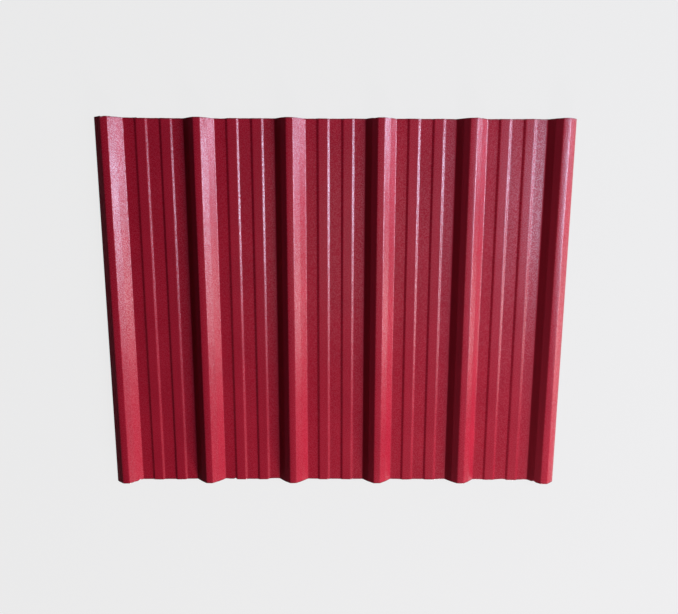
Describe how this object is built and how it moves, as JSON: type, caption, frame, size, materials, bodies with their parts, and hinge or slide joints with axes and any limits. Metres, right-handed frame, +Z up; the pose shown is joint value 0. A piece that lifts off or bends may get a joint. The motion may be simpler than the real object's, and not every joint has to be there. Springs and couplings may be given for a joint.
{
  "type": "trapezoidal pvc roofing sheet",
  "caption": "Flat-lying trapezoidal roofing sheet of crimson rigid PVC, with high ribs along it, low stiffening bands in the pans between them and a fine embossed face.",
  "frame": {"origin": "middle of the sheet, on the plane of the pans' undersides, which it lies on", "axes": "+X across the ribs, +Y along the ribs, +Z up out of the ribbed face"},
  "size_m": [1.104, 0.89, 0.027],
  "materials": {
    "pvc": "fine sand-grain embossing, semi-gloss"
  },
  "bodies": {
    "root": {"roofing_sheet": "pvc"}
  },
  "joints": []
}
